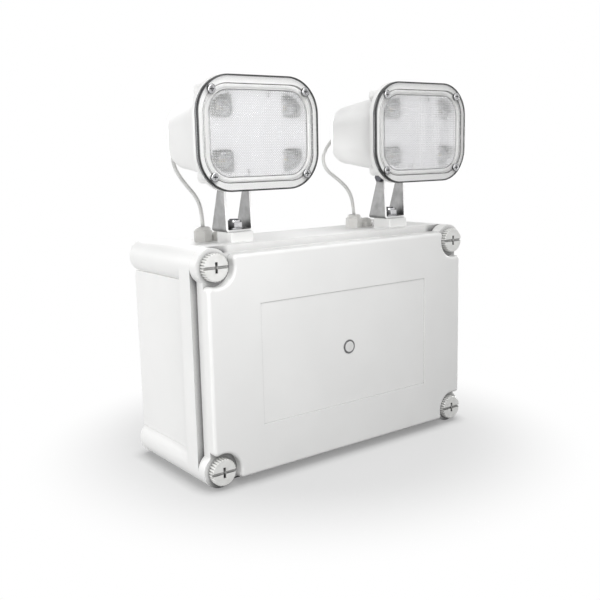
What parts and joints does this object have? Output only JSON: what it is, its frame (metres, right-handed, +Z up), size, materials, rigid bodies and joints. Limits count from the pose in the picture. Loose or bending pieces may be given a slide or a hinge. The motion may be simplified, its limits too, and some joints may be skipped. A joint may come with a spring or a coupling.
{
  "type": "twin-head emergency light",
  "caption": "Wall-mounted emergency light: a white battery enclosure with two adjustable lamp heads on brackets along its top.",
  "frame": {"origin": "centre of the four wall fixing holes, on the back face that meets the wall", "axes": "+Z up, +Y into the wall, +X to the right as seen from the front, so the lid faces -Y"},
  "size_m": [0.3, 0.1275, 0.3335],
  "materials": {
    "enclosure_white": "fine satin moulded",
    "screw_white": "satin moulded",
    "entry_white": "satin moulded nylon",
    "head_white": "smooth moulded",
    "seal_grey": "soft",
    "button_white": "satin",
    "switch_black": "moulded",
    "spring_steel": "drawn wire",
    "nut_plated": "zinc plated",
    "bolt_steel": "machined",
    "bracket_steel": "brushed sheet",
    "tray_steel": "powder coated",
    "battery_case": "moulded",
    "board_green": "solder resist",
    "transformer_core": "varnished stack",
    "relay_case": "moulded",
    "can_sleeve": "shrunk sleeve",
    "terminal_grey": "moulded",
    "fuse_glass": "moulded and glazed",
    "lead_grey": "smooth sheath",
    "lens_clear": "clear, fine lines behind the window",
    "reflector_white": "smooth moulded",
    "led_ceramic": "solder resist and ceramic",
    "optic_clear": "polished",
    "screw_stainless": "stainless",
    "grommet_black": "soft"
  },
  "bodies": {
    "enclosure": {"base_box": "enclosure_white", "lid": "enclosure_white", "lid_gasket": "seal_grey", "button_bezel": "button_white", "button_nut": "nut_plated", "button_spring": "spring_steel", "test_switch": "switch_black", "gear_tray": "tray_steel", "tray_screws": "nut_plated", "battery_pack": "battery_case", "battery_strap": "nut_plated", "control_board": "board_green", "board_pillars": "nut_plated", "relay": "relay_case", "capacitors": "can_sleeve", "terminal_block": "terminal_grey", "fuse_holder": "fuse_glass", "transformer": "transformer_core", "pan_bolts": "bolt_steel", "pan_washers": "nut_plated", "pan_nuts": "bolt_steel", "blanking_plugs": "entry_white", "entry_locknuts": "entry_white", "spacer_left": "enclosure_white", "gland_body_left": "entry_white", "gland_nut_left": "entry_white", "lead_left": "lead_grey", "spacer_right": "enclosure_white", "gland_body_right": "entry_white", "gland_nut_right": "entry_white", "lead_right": "lead_grey"},
    "bracket_left": {"bracket_left": "bracket_steel", "pivot_bolt_left": "bolt_steel", "pivot_nut_left": "bolt_steel"},
    "head_left": {"head_housing_left": "head_white", "lens_gasket_left": "seal_grey", "reflector_left": "reflector_white", "led_board_left": "led_ceramic", "led_optics_left": "optic_clear", "lens_cover_left": "lens_clear", "lens_screws_left": "screw_stainless", "lead_grommet_left": "grommet_black"},
    "bracket_right": {"bracket_right": "bracket_steel", "pivot_bolt_right": "bolt_steel", "pivot_nut_right": "bolt_steel"},
    "head_right": {"head_housing_right": "head_white", "lens_gasket_right": "seal_grey", "reflector_right": "reflector_white", "led_board_right": "led_ceramic", "led_optics_right": "optic_clear", "lens_cover_right": "lens_clear", "lens_screws_right": "screw_stainless", "lead_grommet_right": "grommet_black"},
    "lid_screw_tl": {"lid_screw_tl": "screw_white"},
    "lid_screw_tr": {"lid_screw_tr": "screw_white"},
    "lid_screw_bl": {"lid_screw_bl": "screw_white"},
    "lid_screw_br": {"lid_screw_br": "screw_white"},
    "test_button": {"test_button": "button_white"}
  },
  "joints": [
    {"name": "lid_screw_turn_tl", "type": "hinge", "parent": "enclosure", "child": "lid_screw_tl", "pos_m": [-0.135, -0.12, 0.085], "axis": [0, 1, 0], "range_deg": [0, 90]},
    {"name": "lid_screw_turn_tr", "type": "hinge", "parent": "enclosure", "child": "lid_screw_tr", "pos_m": [0.135, -0.12, 0.085], "axis": [0, 1, 0], "range_deg": [0, 90]},
    {"name": "lid_screw_turn_bl", "type": "hinge", "parent": "enclosure", "child": "lid_screw_bl", "pos_m": [-0.135, -0.12, -0.085], "axis": [0, 1, 0], "range_deg": [0, 90]},
    {"name": "lid_screw_turn_br", "type": "hinge", "parent": "enclosure", "child": "lid_screw_br", "pos_m": [0.135, -0.12, -0.085], "axis": [0, 1, 0], "range_deg": [0, 90]},
    {"name": "test_button_press", "type": "slide", "parent": "enclosure", "child": "test_button", "axis": [0, 1, 0], "range_m": [0, 0.0015], "stiffness_N_per_m": 400, "springref_m": -0.002, "deforming": ["button_spring"]},
    {"name": "pan_left", "type": "hinge", "parent": "enclosure", "child": "bracket_left", "pos_m": [-0.09, -0.081, 0.109], "axis": [0, 0, 1], "range_deg": [-45, 45], "deforming": ["lead_left"]},
    {"name": "tilt_left", "type": "hinge", "parent": "bracket_left", "child": "head_left", "pos_m": [-0.09, -0.0835, 0.1477], "axis": [1, 0, 0], "range_deg": [-30, 30], "deforming": ["lead_left"]},
    {"name": "pan_right", "type": "hinge", "parent": "enclosure", "child": "bracket_right", "pos_m": [0.09, -0.081, 0.109], "axis": [0, 0, 1], "range_deg": [-45, 45], "deforming": ["lead_right"]},
    {"name": "tilt_right", "type": "hinge", "parent": "bracket_right", "child": "head_right", "pos_m": [0.09, -0.0835, 0.1477], "axis": [1, 0, 0], "range_deg": [-30, 30], "deforming": ["lead_right"]}
  ]
}
